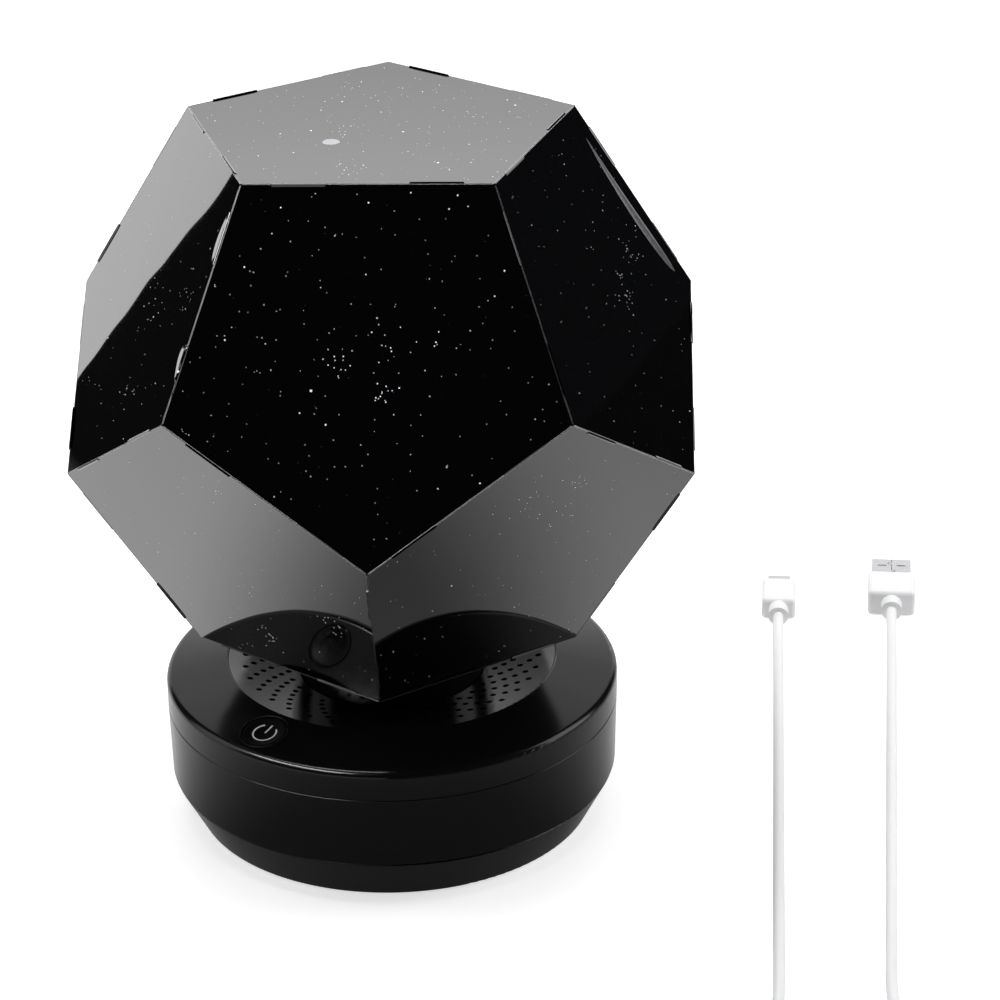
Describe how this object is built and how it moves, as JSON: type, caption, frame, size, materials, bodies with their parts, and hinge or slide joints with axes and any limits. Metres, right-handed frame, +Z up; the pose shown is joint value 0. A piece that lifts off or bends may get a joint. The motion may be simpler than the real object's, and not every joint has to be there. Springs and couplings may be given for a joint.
{
  "type": "planetarium projector",
  "caption": "Star projector: a dodecahedral ball of printed film panels that turns on a round powered base with a button, and its white lead laid beside it.",
  "frame": {"origin": "centre of the base's underside, on the surface that the base stands on", "axes": "+Z up along the axis that the star ball turns about; the power button lies to -X and -Y; the socket is at +Y"},
  "size_m": [0.2355, 0.3048, 0.1954],
  "materials": {
    "printed_film": "high gloss black film printed with white star dots",
    "satin_black": "satin",
    "grille_black": "matt",
    "button_black": "semi-gloss with a plain power symbol",
    "foot_rubber": "matt",
    "screw_steel": "zinc plated",
    "natural_acetal": "satin",
    "inner_black": "matt",
    "bare_aluminium": "drawn",
    "motor_steel": "plain",
    "gearbox_brass": "plain",
    "board_green": "solder resist",
    "component_black": "moulded",
    "led_yellow": "phosphor",
    "clear_dome": "clear",
    "cell_wrap": "shrink sleeve",
    "lead_red": "insulation",
    "white_vinyl": "smooth satin white",
    "plug_steel": "plated"
  },
  "bodies": {
    "base": {"base_screws": "screw_steel", "battery_cell": "cell_wrap", "battery_cradle": "inner_black", "battery_leads": "lead_red", "board_components": "component_black", "board_screws": "screw_steel", "body_shell": "satin_black", "bottom_cover": "satin_black", "cable_coil": "white_vinyl", "cable_micro_run": "white_vinyl", "cable_usb_run": "white_vinyl", "drive_motor": "motor_steel", "foot_pads": "foot_rubber", "gearbox": "gearbox_brass", "lamp_board": "board_green", "lamp_dome": "clear_dome", "lamp_holder": "inner_black", "lamp_leads": "lead_red", "lamp_led": "led_yellow", "lamp_post": "bare_aluminium", "main_board": "board_green", "micro_plug_grip": "white_vinyl", "micro_plug_shell": "plug_steel", "motor_bracket": "inner_black", "motor_leads": "lead_red", "motor_screws": "screw_steel", "retaining_collar": "inner_black", "switch_board": "board_green", "switch_leads": "lead_red", "tact_switch": "motor_steel", "top_cover": "satin_black", "turntable_bush": "natural_acetal", "usb_plug_grip": "white_vinyl", "usb_plug_shell": "plug_steel", "usb_plug_tongue": "inner_black", "usb_socket_shell": "motor_steel", "usb_socket_tongue": "inner_black", "vent_grille": "grille_black"},
    "star_ball": {"star_panel_bottom": "printed_film", "star_panel_lower_1": "printed_film", "star_panel_lower_2": "printed_film", "star_panel_lower_3": "printed_film", "star_panel_lower_4": "printed_film", "star_panel_lower_5": "printed_film", "star_panel_top": "printed_film", "star_panel_upper_1": "printed_film", "star_panel_upper_2": "printed_film", "star_panel_upper_3": "printed_film", "star_panel_upper_4": "printed_film", "star_panel_upper_5": "printed_film", "ball_carrier": "satin_black", "clamp_ring": "inner_black", "drive_gear": "natural_acetal", "carrier_screws": "screw_steel"},
    "pinion": {"pinion": "natural_acetal", "motor_shaft": "motor_steel"},
    "power_button": {"power_button": "button_black", "switch_plunger": "inner_black"}
  },
  "joints": [
    {"name": "ball_spin", "type": "hinge", "parent": "base", "child": "star_ball", "pos_m": [0, 0, 0.034], "axis": [0, 0, 1], "continuous": true},
    {"name": "pinion_spin", "type": "hinge", "parent": "base", "child": "pinion", "pos_m": [-0.03204, 0.01166, 0.034], "axis": [0, 0, 1], "continuous": true},
    {"name": "button_press", "type": "slide", "parent": "base", "child": "power_button", "axis": [0.1237, 0.1671, -0.9781], "range_m": [0, 0.0005], "stiffness_N_per_m": 1500}
  ],
  "couplings": [
    {"joint": "pinion_spin", "follows": "ball_spin", "ratio": -4.6667}
  ]
}
